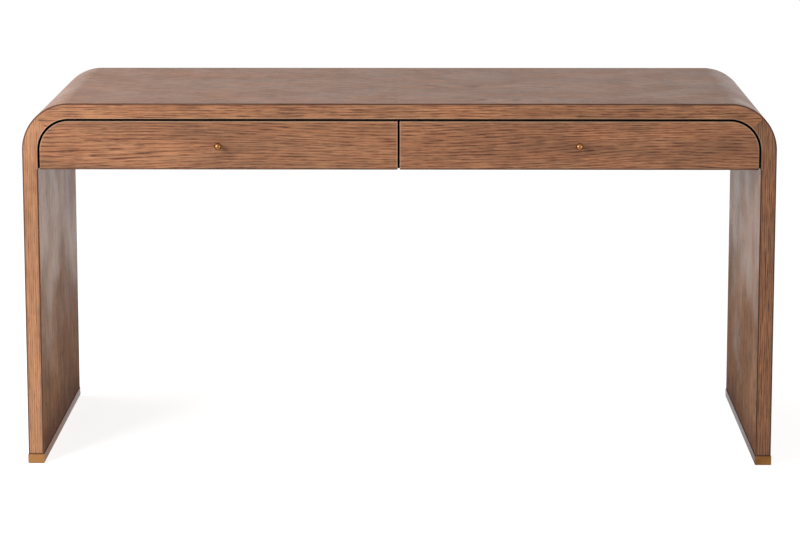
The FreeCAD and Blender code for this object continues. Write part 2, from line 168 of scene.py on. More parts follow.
def split(place):
    """A place, taken apart into three wires."""
    made = add_node(tree_of(place), "ShaderNodeSeparateXYZ", {0: place})
    return [Wire(socket) for socket in made.outputs]


def join(*numbers):
    """Three numbers, put together as a place."""
    return add_node(tree_of(*numbers), "ShaderNodeCombineXYZ", dict(enumerate(numbers)))


def between(value, low, high, start=0.0, end=1.0):
    """Ease from start to end as a wire goes from low to high."""
    made = add_node(tree_of(value), "ShaderNodeMapRange", dict(enumerate((value, low, high, start, end))),
                    interpolation_type="SMOOTHSTEP")
    return Wire(made.outputs[0])


def cloud(place, scale, detail=2.0, roughness=0.5):
    """Noise from 0 to 1 that is stretched by its scale, in clouds per metre."""
    tree = tree_of(place)
    stretched = add_node(tree, "ShaderNodeVectorMath", {0: place, 1: scale}, operation="MULTIPLY")
    made = add_node(tree, "ShaderNodeTexNoise", {
        "Vector": stretched, "Scale": 1.0, "Detail": detail, "Roughness": roughness})
    return Wire(made.outputs["Fac"])

print("a place can be split, joined and laid with a cloud")

# %% [markdown]
# ## Colours, groups and materials
# Colours are noted as a screen shows them, from 0 to 255, because that is how they are compared with a
# picture, and are turned into the linear ones that light needs. A node group keeps a rule in one place,
# however many materials or shapes use it.

# %% Colours, groups and materials
def srgb(red, green, blue):
    """A colour of the screen, turned into a linear one by the rule of the sRGB standard."""
    shares = [value / 255 for value in (red, green, blue)]
    linear = [s / 12.92 if s <= 0.04045 else ((s + 0.055) / 1.055) ** 2.4 for s in shares]
    return (*linear, 1.0)


def mix_colour(share, first, second, way="MIX"):
    """Mix two colours by a share from 0 to 1."""
    made = add_node(tree_of(share, first, second), "ShaderNodeMix", {0: share, 6: first, 7: second},
                    data_type="RGBA", blend_type=way)
    return Wire(made.outputs[2])


def tinted(colour, tint):
    """One colour times another."""
    return mix_colour(1.0, colour, tint, "MULTIPLY")


def new_group(name, kind, inputs, outputs):
    """An empty node group with named sockets. Gives back the group, its inputs and its output node."""
    tree = bpy.data.node_groups.new(name, kind)
    for way, sockets in (("INPUT", inputs), ("OUTPUT", outputs)):
        for socket_name, socket_kind in sockets.items():
            tree.interface.new_socket(name=socket_name, in_out=way, socket_type="NodeSocket" + socket_kind)
    start = tree.nodes.new("NodeGroupInput")
    given = {socket_name: Wire(start.outputs[socket_name]) for socket_name in inputs}
    return tree, given, tree.nodes.new("NodeGroupOutput")


def new_finish(name):
    """A new material, with its tree and its shader."""
    made = bpy.data.materials.new(name)
    made.use_nodes = True
    return made, made.node_tree, made.node_tree.nodes["Principled BSDF"]

print("a screen's middle grey is", round(srgb(128, 128, 128)[0], 3), "in light")

# %% [markdown]
# ## Where a point lies on the unrolled veneer
# One sheet of veneer follows the real bends, so its grain runs up the leg, round the corner and across
# the top without a break. A texture that only knows X, Y and Z would jump there. This group unrolls the
# band: it gives the way along the veneer from the middle of the top, the place across the depth, and how
# deep a point lies under the outer face.

# %% Unroll the band for the grain
band_place, _, band_end = new_group("place_on_band", "ShaderNodeTree", {}, {"Place": "Vector"})
x, y, z = split(object_place(band_place))
from_middle = abs(x)
past_flat = calc("MAXIMUM", from_middle - flat_half, 0.0)
above_bend = calc("MAXIMUM", z - bend_level, 0.0)
down_leg = calc("MAXIMUM", bend_level - z, 0.0)
round_bend = calc("ARCTAN2", past_flat, above_bend) * bend_radius
along = calc("MINIMUM", from_middle, flat_half) + round_bend + down_leg
reach = calc("SQRT", past_flat * past_flat + above_bend * above_bend)
unrolled = join(along * calc("SIGN", x), y, bend_radius - reach)
feed(band_end, {"Place": unrolled})
print("unrolled veneer:", round(2 * (flat_half + bend_length + bend_level - foot_level), 3), "m long")

# %% [markdown]
# ## The figure of brushed oak: rings, fibres and pores
# Growth rings wander slowly and make long flames in a board. Brushing clears the soft wood out, which
# leaves dark open pores in the early part of each ring, and short dark streaks lie along the grain. Each
# is a noise that is stretched five to fifty times more along the grain than across it, and the rings are
# the contour lines of a slow one. One more noise breaks the early wood into short dashes.

# %% Rings, fibres and pores
tone_names = ("Light", "Middle", "Dark", "Pore")
oak_figure, oak, oak_end = new_group(
    "oak_figure", "ShaderNodeTree",
    {"Place": "Vector", "Ring Spacing": "Float", "Flame": "Float", "Streaks": "Float",
     **dict.fromkeys(tone_names, "Color")},
    {"Colour": "Color", "Roughness": "Float", "Height": "Float"})


def grain(along, across, detail=2.0, roughness=0.5):
    """A noise of the oak, with so many clouds to the metre along the grain and across it."""
    return cloud(oak["Place"], (along, across, across), detail, roughness)


_, across, through = split(oak["Place"])
slow = grain(1.3, 7.0, detail=1.5, roughness=0.45)
jitter = grain(5.0, 70.0, detail=3.0)
rings = (across + through * 0.6) / oak["Ring Spacing"] + slow * oak["Flame"] + jitter * 0.9
in_ring = calc("FRACT", rings)
early = between(in_ring, 0.0, 0.12) * between(in_ring, 0.22, 0.6, 1.0, 0.0)
early = early * between(grain(20.0, 190.0), 0.36, 0.6, 0.25, 1.0)

fibre = grain(11.0, 520.0, detail=3.0, roughness=0.6)
streak = grain(19.0, 470.0, detail=3.0, roughness=0.6)
streak = between(streak, 0.475, 0.575) * (early * 0.5 + 0.5)
pores = between(grain(42.0, 1500.0, detail=1.0), 0.53, 0.62) * (early * 0.75 + 0.25)
print("rings, fibres and pores:", len(oak_figure.nodes), "nodes")

# %% [markdown]
# ## The colours of the oak
# The four tones are laid over each other as in the wood: a light and a middle one for the fibres, a
# darker one for the early wood, and the darkest for streaks and pores. Broad clouds then shade the board,
# and two more noises make some places greyer, warmer or cooler. The same masks give the relief and the
# roughness, so a pore is dark, dull and hollow in one place.

# %% Colour and relief of the oak
tone = grain(3.2, 15.0, detail=3.0, roughness=0.55)
fleck = grain(34.0, 15.0)
shade = between(tone, 0.28, 0.72, 0.76, 1.16) * between(fleck, 0.3, 0.62, 1.03, 0.93)
greyness = between(grain(2.1, 8.0), 0.4, 0.65)
warmth = between(grain(7.0, 95.0), 0.38, 0.62)
grey_tint = (0.93, 0.97, 1.02, 1.0)
cool_tint, warm_tint = (0.98, 1.01, 1.015, 1.0), (1.03, 0.987, 0.967, 1.0)

colour = mix_colour(between(fibre, 0.3, 0.7), oak["Middle"], oak["Light"])
colour = mix_colour(early * 0.52, colour, oak["Dark"])
colour = mix_colour(streak * oak["Streaks"], colour, oak["Pore"])
colour = mix_colour(pores * 0.8, colour, oak["Pore"])
colour = tinted(colour, shade)
colour = mix_colour(greyness, colour, tinted(colour, grey_tint))
colour = tinted(colour, mix_colour(warmth, cool_tint, warm_tint))

hollow = pores * 0.7 + early * 0.25
dullness = pores * 0.2 + between(tone, 0.2, 0.8, 0.46, 0.56)
feed(oak_end, {"Colour": colour, "Roughness": dullness, "Height": fibre * 0.25 - hollow})
print("oak figure:", len(oak_figure.nodes), "nodes")

# %% [markdown]
# ## Wood finishes
# Every wooden piece uses the same figure, but the grain turns with the board. The veneer follows the
# band, the top lipping and the drawer fronts run from side to side, and the leg lippings run up and down.
# Turning the place instead of the pattern does that with one group.

# %% Turn the grain
grain_orders = {"x": (0, 2, 1), "y": (1, 2, 0), "z": (2, 0, 1)}


def grain_place(tree, direction, moved):
    """A point as along, across and through the grain. moved shifts the pattern, so no two boards match."""
    if direction == "band":
        inner = add_node(tree, "ShaderNodeGroup", node_tree=band_place)
    else:
        parts = split(object_place(tree))
        inner = join(*(parts[axis] for axis in grain_orders[direction]))
    return add_node(tree, "ShaderNodeVectorMath", {0: inner, 1: moved}, operation="ADD")

print("grain runs along the band or along", ", ".join(grain_orders))

# %% [markdown]
# ## Lacquer, wear and painted light over the figure
# A satin lacquer is the shader's coat. At a flat angle it mirrors the pale room, which makes the top and
# the inner sides of the legs greyer than the fronts. It is uneven, as a hand lays it, and worn through at
# the feet. Layers of painted shade and painted highlight come last and cover it. Pores and rings press into
# the surface a little, which the Bump node does without any geometry.

# %% Make a wood finish
relief_depth = 0.0004
lacquer_roughness = 0.22
uneven_lacquer = (0.64, 1.36)
inner_lacquer, worn_lacquer = 1.97, 0.03
worn_through = 0.85
worn_roughness = 0.36
extra_polish = 1.4


def wood(name, direction, moved, tones, streaks=0.6, spacing=0.0075, flame=14.0, relief=0.35, gloss=0.35,
         lacquer=0.0, polish=None, shade_and_wear=None, layers=()):
    """A wood finish whose grain runs one way: band, x, y or z. shade_and_wear paints shade and sheen into
    the colour and dulls the wood, polish says where the lacquer is rubbed brighter, and layers of painted
    shade and highlight cover both in places."""
    made, tree, shader = new_finish(name)
    four_tones = {key: srgb(*tone) for key, tone in zip(tone_names, tones)}
    figure = add_node(tree, "ShaderNodeGroup", {
        "Place": grain_place(tree, direction, moved), "Ring Spacing": spacing, "Flame": flame,
        "Streaks": streaks, **four_tones}, node_tree=oak_figure)
    bump = add_node(tree, "ShaderNodeBump", {
        "Strength": relief, "Distance": relief_depth, "Height": figure.outputs["Height"]})
    colour = Wire(figure.outputs["Colour"])
    roughness = Wire(figure.outputs["Roughness"])
    coat = lacquer
    if shade_and_wear:
        # The tint paints shade and sheen into the colour.
        inside, worn, tint = shade_and_wear(tree)
        colour = mix_colour(inside, colour, tinted(colour, tint))
        roughness = roughness + inside * between(worn, 0.0, 1.0, 0.0, worn_roughness)
        inner_coat = between(worn, 0.0, worn_through, lacquer * inner_lacquer, worn_lacquer)
        coat = inside * (inner_coat - lacquer) + lacquer
    if lacquer:
        uneven = cloud(object_place(tree), (9.0, 9.0, 9.0), detail=3.0)
        coat = between(uneven, 0.34, 0.66, *uneven_lacquer) * coat
    if polish:
        coat = coat * (polish(tree) * extra_polish + 1.0)
    # Each layer is painted shade or painted highlight.
    for where, painted_colour, painted_roughness in layers:
        share = where(tree)
        colour = mix_colour(share, colour, srgb(*painted_colour))
        roughness = between(share, 0.0, 1.0, roughness, painted_roughness)
        if lacquer:
            coat = coat * (1.0 - share)
    feed(shader, {
        "Base Color": colour, "Roughness": roughness, "Normal": bump, "Coat Weight": coat,
        "Coat Roughness": lacquer_roughness, "Specular IOR Level": gloss})
    return made

print("the recipe for wood is ready")

# %% [markdown]
# ## Painted shade inside the gaps
# The gaps round the drawers are deep and narrow, so little light gets in. That shade is painted here:
# near-black colour on the edges and backs of the fronts, on the inner face of the band round the opening,
# and on the front of the case boards. A mask says where: a rule on where a point lies, 1 where the shade is
# painted and 0 elsewhere. It begins a hair behind the faces of the fronts, which stay clear.

# %% Masks for the gaps
case_low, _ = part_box("case_bottom")
front_low, front_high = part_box("right_drawer_front")
gap = top_low.z - front_high.z
shade_start = 0.00005
on_face = 0.0004
opening_fade = (0.04, 0.09)
case_shade_depth = 0.03
Spot = namedtuple("Spot", "under x y z")


def spot(tree):
    """How deep a point lies under the outer face of the band, and its X, Y and Z."""
    on_band = add_node(tree, "ShaderNodeGroup", node_tree=band_place)
    return Spot(split(on_band)[2], *split(object_place(tree)))


def inside_opening(tree):
    """1 on the inner face of the band round the drawers, fading to 0 a few centimetres in: where near-black
    shade is painted.
    """
    at = spot(tree)
    shallow = between(at.y - front_y, *opening_fade, 1.0, 0.0)
    return (at.under > thickness - on_face) * (at.y > front_y + shade_start) * (at.z > case_low.z) * shallow


def front_edge(tree):
    """1 on the narrow edges and the back of a drawer front, behind its eased corner: where near-black shade
    is painted.
    """
    return spot(tree).y > front_y + shade_start


def case_front(tree):
    """1 on the first few centimetres of the case boards, which stand behind the gaps: where near-black
    shade is painted.
    """
    return spot(tree).y < case_low.y + case_shade_depth

# The gaps hold painted shade from the case bottom up.
print("gaps of", round(1000 * gap, 2), "mm, stained from", round(case_low.z, 3), "m up")

# %% [markdown]
# ## Painted highlights beside the gaps, and painted shade in the corners
# A pale painted highlight runs beside every gap, where the eased edges would catch the light. Brown painted
# shade darkens the corners of the lippings, the wood just above the shoes and the lower edges of the
# fronts. Each line comes from the distance to the nearest edge, eased over a few millimetres.

# %% Masks for edges and corners
shoe_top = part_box("right_foot_shoe")[1].z
leg_gap_easing = 0.0014
lipping_only = -0.001
face_reach = 0.7


def edge_line(distance, full, gone, strength):
    """A line beside an edge: as strong as it gets up to one distance from the edge, and gone at another."""
    return between(distance, full, gone, strength, 0.0)


def shoe_line(tree):
    """How much painted shade darkens the wood where it meets the rim of the shoe."""
    return edge_line(spot(tree).z - shoe_top, full=0.0015, gone=0.006, strength=0.85)


def eased_corner(tree):
    """How much painted shade darkens the corners of a lipping and the wood above the shoe. Beside a gap it
    stays away.
    """
    at = spot(tree)
    from_face = calc("MINIMUM", at.y - front_y, back_y - at.y) * face_reach
    beside_drawer = at.z > case_low.z
    from_side = calc("MINIMUM", at.under, thickness - at.under + beside_drawer)
    from_corner = calc("MAXIMUM", from_face, from_side)
    nearest = calc("MINIMUM", from_corner, at.z - shoe_top)
    return edge_line(nearest, full=0.0016, gone=0.0042, strength=0.85)


def highlight_beside_gaps(tree):
    """How much painted highlight lightens the edges beside the gaps round and between the drawers."""
    at = spot(tree)
    past_gap = at.under - (thickness + gap)
    upright = (at.z < bend_level) * leg_gap_easing
    away = (at.z < case_low.z) + upright
    beside_band = calc("MAXIMUM", past_gap, thickness - at.under) + away
    beside_middle = abs(at.x) - front_low.x + (past_gap < lipping_only)
    nearest = calc("MINIMUM", beside_band, beside_middle)
    return edge_line(nearest, full=0.0008, gone=0.0034, strength=0.45)


def bottom_edge(tree):
    """How much painted shade darkens the lower edge of a drawer front, which faces down."""
    return edge_line(spot(tree).z - front_low.z, full=0.002, gone=0.0045, strength=0.65)

print("edges ready, the shoes end at", round(shoe_top, 4), "m")

# %% [markdown]
# ## Painted shade and sheen inside the legs, wear, and polish on the bends
# The inner sides of the legs get painted light: a painted sheen keeps them pale and grey high up, and
# painted shade makes them browner towards the foot, with soft bands of painted shade and sheen, a few
# specks and a reddish painted shade just above the shoe. Their roughness rises and their lacquer thins
# towards the foot. Noise shifts the level where this begins, because a straight line would look drawn.
# Sleeves brush the bends, so their lacquer is the brightest.

# %% Masks for wear and polish
bend_fade = 0.03
shade_and_wear_drift, shoe_drift = 0.5, 0.08
wear_top = 0.9 * case_low.z
paling_starts = 0.25
band_share, speck_strength = 0.3, 0.75
shoe_shade_height = 0.1
# Tints of painted light: painted shade low down and painted sheen high up, bands of both, and painted shade
# above the shoe. The specks are marks in the wood.
painted_shade_tint, painted_sheen_tint = (1.18, 1.25, 1.2, 1.0), (1.52, 1.6, 1.5, 1.0)
painted_shade_band, painted_sheen_band = (0.84, 0.81, 0.78, 1.0), (1.14, 1.17, 1.18, 1.0)
speck_tint = (0.62, 0.52, 0.45, 1.0)
painted_shoe_shade_tint = (0.46, 0.34, 0.26, 1.0)


def on_a_bend(tree):
    """1 on the outer side of a bend, fading to 0 a few centimetres before its ends."""
    at = spot(tree)
    across = between(abs(at.x) - flat_half, 0.0, bend_fade)
    upwards = between(at.z - bend_level, 0.0, bend_fade)
    return (at.under < thickness / 2) * across * upwards


def towards_feet(tree):
    """1 on the inner side of the band, how worn the wood is there, and its tint, which holds painted shade
    low down and painted sheen high up.
    """
    at = spot(tree)
    place = object_place(tree)
    level = at.z + (cloud(place, (3.0, 3.2, 5.0)) - 0.5) * shade_and_wear_drift
    worn = between(level, 0.0, wear_top, 1.0, 0.0)
    tint = mix_colour(between(level, paling_starts, case_low.z), painted_shade_tint, painted_sheen_tint)
    bands = cloud(place, (3.0, 20.0, 2.2), detail=3.0)
    patches = cloud(place, (2.0, 4.0, 8.0), detail=3.0)
    mottled = (bands - patches) * band_share + patches
    tint = tinted(tint, mix_colour(between(mottled, 0.36, 0.64), painted_shade_band, painted_sheen_band))
    specks = between(cloud(place, (36.0, 30.0, 44.0), detail=1.0), 0.64, 0.7, 0.0, speck_strength)
    tint = mix_colour(specks * worn, tint, speck_tint)
    over_shoe = at.z + (bands - 0.5) * shoe_drift - shoe_top
    near_shoe = between(over_shoe, 0.0, shoe_shade_height, 1.0, 0.0)
    tint = mix_colour(near_shoe, tint, tinted(tint, painted_shoe_shade_tint))
    return at.under > thickness - on_face, worn, tint

print("the wear reaches up to", round(wear_top, 3), "m")

# %% [markdown]
# ## Painted light and the tones
# A layer of painted shade or painted highlight is a mask, a colour and how dull it is. The tones of a board
# go from light to dark: fibre, middle, early wood and pore. The legs and the drawer fronts are cut from
# different boards, so each gets tones of its own, and the drawer boxes are pale, unstained wood.

# %% Stains and tones
# Every layer here paints light: near-black painted shade in the gaps, brown painted shade in corners, above
# the shoes and under the fronts, and a pale painted highlight beside the gaps.
gap_shade_colour, corner_shade_colour = (24, 16, 13), (58, 32, 22)
opening_shade_layer = (inside_opening, gap_shade_colour, 0.95)
front_edge_shade_layer = (front_edge, (26, 17, 13), 0.95)
case_shade_layer = (case_front, gap_shade_colour, 0.95)
corner_shade_layer = (eased_corner, corner_shade_colour, 0.85)
above_shoe_shade_layer = (shoe_line, corner_shade_colour, 0.85)
edge_highlight_layer = (highlight_beside_gaps, (184, 150, 122), 0.5)
bottom_shade_layer = (bottom_edge, (58, 36, 26), 0.85)
lipping_layers = (edge_highlight_layer, corner_shade_layer, opening_shade_layer)
front_layers = (edge_highlight_layer, bottom_shade_layer, front_edge_shade_layer)

veneer_tones = ((170, 117, 82), (145, 97, 66), (92, 54, 34), (52, 27, 15))
top_lipping_tones = ((184, 129, 91), (157, 106, 72), (104, 58, 32), (70, 28, 9))
left_front_tones = ((171, 118, 82), (148, 99, 67), (101, 57, 32), (70, 30, 11))
right_front_tones = ((179, 124, 88), (154, 104, 72), (103, 56, 31), (68, 27, 9))
left_leg_tones = ((188, 135, 97), (168, 118, 83), (120, 74, 46), (82, 42, 22))
right_leg_tones = ((166, 114, 79), (144, 97, 66), (94, 52, 31), (60, 26, 13))
pale_tones = ((222, 192, 152), (208, 176, 134), (184, 146, 102), (150, 112, 76))
print("layers on a lipping:", len(lipping_layers), "and on a drawer front:", len(front_layers))

# %% [markdown]
# ## Every board its own finish
# The three numbers of each call move the figure, so that no two boards come from the same place in the
# tree. Narrow pieces get rings that stand closer together, and quiet ones fewer streaks.

# %% Finish the boards
band_veneer = wood("band_veneer", "band", (0.0, 0.0, 0.0), veneer_tones, streaks=0.9, flame=26.0,
                   gloss=0.12, lacquer=0.138, polish=on_a_bend, shade_and_wear=towards_feet,
                   layers=(above_shoe_shade_layer, opening_shade_layer))
top_lipping_oak = wood("top_lipping_oak", "x", (3.1, 0.4, 0.2), top_lipping_tones, streaks=1.0,
                       spacing=0.0055, flame=6.0, layers=lipping_layers)
left_lipping_oak = wood("left_lipping_oak", "z", (1.7, 2.3, 0.9), left_leg_tones, streaks=0.32,
                        spacing=0.0045, flame=5.0, layers=lipping_layers)
right_lipping_oak = wood("right_lipping_oak", "z", (4.9, 0.3, 2.7), right_leg_tones, streaks=1.0,
                         spacing=0.0045, flame=5.0, layers=lipping_layers)
left_front_oak = wood("left_front_oak", "x", (5.3, 1.1, 0.0), left_front_tones, streaks=0.9, flame=12.0,
                      layers=front_layers)
right_front_oak = wood("right_front_oak", "x", (8.9, 1.6, 0.3), right_front_tones, streaks=1.0, flame=16.0,
                       layers=front_layers)
case_veneer = wood("case_veneer", "x", (2.2, 4.4, 1.0), veneer_tones, streaks=0.35, flame=20.0,
                   layers=(case_shade_layer,))
case_side_veneer = wood("case_side_veneer", "y", (6.1, 3.2, 2.0), veneer_tones, streaks=0.35,
                        layers=(case_shade_layer,))
box_side_wood = wood("box_side_wood", "y", (4.0, 7.0, 3.0), pale_tones, streaks=0.3, relief=0.15)
box_end_wood = wood("box_end_wood", "x", (9.0, 5.0, 4.0), pale_tones, streaks=0.3, relief=0.15)
box_plywood = wood("box_plywood", "x", (7.0, 8.0, 6.0), pale_tones, streaks=0.2, flame=40.0, relief=0.1)
joinery_birch = wood("joinery_birch", "y", (3.0, 6.0, 5.0), pale_tones, streaks=0.1, relief=0.1)
print("wood finishes:", len(bpy.data.materials))

# %% [markdown]
# ## Metal finishes
# Satin brass isn't a mirror: fine lines spread its highlight, and age browns it in patches. The lines are
# a noise that is stretched along the shoe, as a brush leaves them, and squeezed along the axis of the
# knob, which gives the rings of turning. Seen edge on, metal turns pale, and Specular Tint sets that
# colour: cool on the shoes, brown on the lacquered knobs. Zinc-plated steel takes the same recipe.

# %% Make a metal finish
metal_relief = 0.0001
coat_roughness = 0.12
white = (1.0, 1.0, 1.0, 1.0)


def metal(name, base, aged, roughness, lines, rim=white, lacquer=0.0):
    """A metal finish. lines are clouds per metre along X, Y and Z. rim tints what it mirrors edge on."""
    made, tree, shader = new_finish(name)
    brushed = cloud(object_place(tree), lines)
    patches = cloud(object_place(tree), (28.0, 28.0, 28.0), detail=3.0)
    aged_share = between(patches, 0.45, 0.75, 0.0, 0.7)
    bump = add_node(tree, "ShaderNodeBump", {"Strength": 0.12, "Distance": metal_relief, "Height": brushed})
    feed(shader, {
        "Base Color": mix_colour(aged_share, srgb(*base), srgb(*aged)), "Metallic": 1.0,
        "Roughness": between(brushed, 0.25, 0.75, roughness - 0.05, roughness + 0.07), "Normal": bump,
        "Specular Tint": rim, "Coat Weight": lacquer, "Coat Roughness": coat_roughness})
    return made


shoe_lines, screw_lines = (900.0, 12.0, 900.0), (600.0, 600.0, 600.0)
shoe_rim = srgb(196, 210, 226)
left_shoe_brass = metal("left_shoe_brass", (156, 111, 68), (130, 90, 52), 0.3, shoe_lines, rim=shoe_rim)
# The right shoe's brass is darker as painted shade: it stands for the weaker light on the right of the
# desk.
right_shoe_brass = metal("right_shoe_brass", (132, 91, 52), (108, 72, 38), 0.3, shoe_lines, rim=shoe_rim)
knob_brass = metal("knob_brass", (148, 97, 48), (116, 70, 30), 0.26, (40.0, 3000.0, 40.0),
                   rim=srgb(96, 56, 26), lacquer=0.5)
screw_brass = metal("screw_brass", (200, 160, 92), (160, 120, 64), 0.3, screw_lines)
slide_zinc = metal("slide_zinc", (196, 198, 200), (164, 168, 172), 0.33, (700.0, 10.0, 700.0))
cage_zinc = metal("cage_zinc", (176, 178, 180), (150, 152, 156), 0.28, (300.0, 30.0, 300.0))
screw_zinc = metal("screw_zinc", (202, 190, 148), (170, 158, 118), 0.3, screw_lines)
print("metal finishes ready")

# %% [markdown]
# ## Give the solids their finishes
# Most solids already have the right shape, so only their material slots change. Names decide the finish:
# every name that ends the same way is the same kind of piece. The solids that aren't named here are
# replaced further down.

# %% Finish the solids that stay
finish_by_ending = {
    "top_panel leg_panel": band_veneer, "case_side centre_divider": case_side_veneer,
    "case_bottom back_panel": case_veneer, "case_dowels corner_tongues": joinery_birch,
    "box_front box_back": box_end_wood, "box_bottom": box_plywood, "inner_side outer_side": box_side_wood,
    "case_channel middle_channel drawer_channel": slide_zinc, "cages": cage_zinc}
finished = 0
for endings, finish in finish_by_ending.items():
    for name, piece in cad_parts.items():
        if name.endswith(tuple(endings.split())):
            piece.data.materials.clear()
            piece.data.materials.append(finish)
            finished += 1
print("finished", finished, "of", len(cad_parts), "solids")

# %% [markdown]
# ## Bend a straight strip over the band
# The lippings and the bends are straight strips, bent over one form. A Geometry Nodes tree does it by
# rule: it sweeps a rounded rectangle along a straight path, and moves every point from the straight strip
# to its place on the band. The ends stay square in the straight strip, so they become mitres that halve
# the bend exactly.

# %% The rule of the band
def band_rule(tree, flat, radius, level):
    """Nodes that move a point of the straight strip to its place on the band."""
    x, y, z = split(add_node(tree, "GeometryNodeInputPosition"))
    way = abs(x)
    past = calc("MAXIMUM", way - flat, 0.0)
    on_arc = calc("MINIMUM", past, radius * quarter_turn)
    turn = on_arc / radius
    arm = radius + z
    out = calc("SINE", turn) * arm + calc("MINIMUM", way, flat)
    height = calc("COSINE", turn) * arm + (level - (past - on_arc))
    return join(out * calc("SIGN", x), y, height)


def close_tree(tree, shape, finish, end):
    """Shade the shape smooth, make its copies real, give it its finish, and send it out of the tree."""
    smooth = add_node(tree, "GeometryNodeSetShadeSmooth", {"Geometry": shape})
    real = add_node(tree, "GeometryNodeRealizeInstances", {0: smooth})
    feed(end, {0: add_node(tree, "GeometryNodeSetMaterial", {"Geometry": real, "Material": finish})})
    print(tree.name, len(tree.nodes), "nodes")

# %% [markdown]
# ## The tree that makes a strip
# The rectangle's corners are numbered 0 to 3, and 1 and 2 are the ones at the back, so the easing can
# differ between the front and the back. Points that fall on each other are merged at the end.

# %% The strip tree
seam_gap = 1e-6
easing_points = 3
strip_sizes = ("Front", "Back", "Thickness", "Front Easing", "Back Easing", "Flat Half", "Bend Radius",
               "Bend Level")
bent_strip, strip, strip_end = new_group(
    "bent_strip", "GeometryNodeTree",
    {"Path": "Geometry", **dict.fromkeys(strip_sizes, "Float"), "Finish": "Material"},
    {"Strip": "Geometry"})
outline = add_node(bent_strip, "GeometryNodeCurvePrimitiveQuadrilateral", {
    "Width": strip["Back"] - strip["Front"], "Height": strip["Thickness"]})
corner = Wire(add_node(bent_strip, "GeometryNodeInputIndex").outputs[0])
is_back = abs(corner - 1.5) < 1.0
easing = is_back * (strip["Back Easing"] - strip["Front Easing"]) + strip["Front Easing"]
rounded = add_node(bent_strip, "GeometryNodeFilletCurve", {
    "Curve": outline, "Count": easing_points, "Radius": easing}, mode="POLY")
swept = add_node(bent_strip, "GeometryNodeCurveToMesh", {
    "Curve": strip["Path"], "Profile Curve": rounded, "Fill Caps": True})
middle = join(0.0, (strip["Back"] + strip["Front"]) * 0.5, strip["Thickness"] * -0.5)
placed = add_node(bent_strip, "GeometryNodeSetPosition", {"Geometry": swept, "Offset": middle})
on_band = band_rule(bent_strip, strip["Flat Half"], strip["Bend Radius"], strip["Bend Level"])
wrapped = add_node(bent_strip, "GeometryNodeSetPosition", {"Geometry": placed, "Position": on_band})
merged = add_node(bent_strip, "GeometryNodeMergeByDistance", {"Geometry": wrapped, "Distance": seam_gap})
close_tree(bent_strip, merged, strip["Finish"], strip_end)

# %% [markdown]
# ## Run a tree and keep its mesh
# A live modifier is good for trying sizes, but a finished piece is a plain mesh. So the tree's named
# inputs are set, Blender works it out, and the result is kept. Flat faces beside rounded edges would
# shade like pillows, so sharp edges are marked and a Weighted Normal modifier keeps the large faces flat.

# %% Grow a piece from a tree
def new_object(name, data):
    """Put a mesh, a curve, a lamp or a camera in the scene."""
    made = bpy.data.objects.new(name, data)
    bpy.context.scene.collection.objects.link(made)
    return made


def settle_shading(piece, sharp_angle=math.radians(40)):
    """Mark the sharp edges, and let the large faces set the normals."""
    piece.data.set_sharp_from_angle(angle=sharp_angle)
    weighted = piece.modifiers.new("flat_faces_first", "WEIGHTED_NORMAL")
    weighted.keep_sharp = True


def grow(name, source, tree, sizes):
    """Run a Geometry Nodes tree on an object and keep the mesh that it makes."""
    run = source.modifiers.new("grow", "NODES")
    run.node_group = tree
    for item in tree.interface.items_tree:
        if item.in_out == "INPUT" and item.name in sizes:
            run[item.identifier] = sizes[item.name]
    bpy.context.view_layer.update()
    worked_out = source.evaluated_get(bpy.context.evaluated_depsgraph_get())
    mesh = bpy.data.meshes.new_from_object(worked_out)
    mesh.name = name
    bpy.data.objects.remove(source)
    piece = new_object(name, mesh)
    settle_shading(piece)
    return piece


def stand_for(piece, node, body):
    """Put a piece in the place of a CAD node. It rides with the body."""
    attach(piece, body)
    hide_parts(node)
    print(piece.name, len(piece.data.polygons), "faces")

print("ready to grow")

# %% [markdown]
# ## Paths for the strips
# A path is a straight curve with a point at each mark. Marks lie close together where the strip will
# bend, and none are spent where it stays straight. Each bend gets forty steps.

# %% Marks and paths
bend_steps = 40


def steps(first, last, count):
    """Evenly spaced marks, both ends included."""
    return [first + (last - first) * step / count for step in range(count + 1)]


def mirrored(marks):
    """The same marks on the left side."""
    return [-mark for mark in reversed(marks)]


def straight_path(marks):
    """A straight path along X with a point at each mark."""
    curve = bpy.data.curves.new("path", "CURVE")
    curve.dimensions = "3D"
    run = curve.splines.new("POLY")
    run.points.add(len(marks) - 1)
    for point, mark in zip(run.points, marks):
        point.co = (mark, 0.0, 0.0, 1.0)
    return new_object("path", curve)


mitre = flat_half + bend_length / 2
bend_end = flat_half + bend_length
foot_end = bend_end + bend_level - foot_level
to_mitre = steps(flat_half, mitre, bend_steps // 2)
top_marks = mirrored(to_mitre) + to_mitre
leg_marks = steps(mitre, bend_end, bend_steps // 2) + [foot_end]
bend_marks = steps(flat_half, bend_end, bend_steps)
print("marks on the top:", len(top_marks), "a leg:", len(leg_marks), "a bend:", len(bend_marks))

# %% [markdown]
# ## The lippings and the bends
# A lipping is the thin solid edge that covers the raw front of a veneered board. There are three at the
# front and three at the back: one over the top and one down each leg. Their outer corners are eased by a
# millimetre, which catches a fine line of light, so they are worth their own mesh.

# %% Bend the strips
edge_easing = 0.0012


def band_strip(name, node, marks, ends, easings, finish):
    """One strip on the band, in place of its CAD node."""
    sizes = dict(zip(strip_sizes, (*ends, thickness, *easings, flat_half, bend_radius, bend_level)))
    piece = grow(name, straight_path(marks), bent_strip, {**sizes, "Finish": finish})
    stand_for(piece, node, "desk")


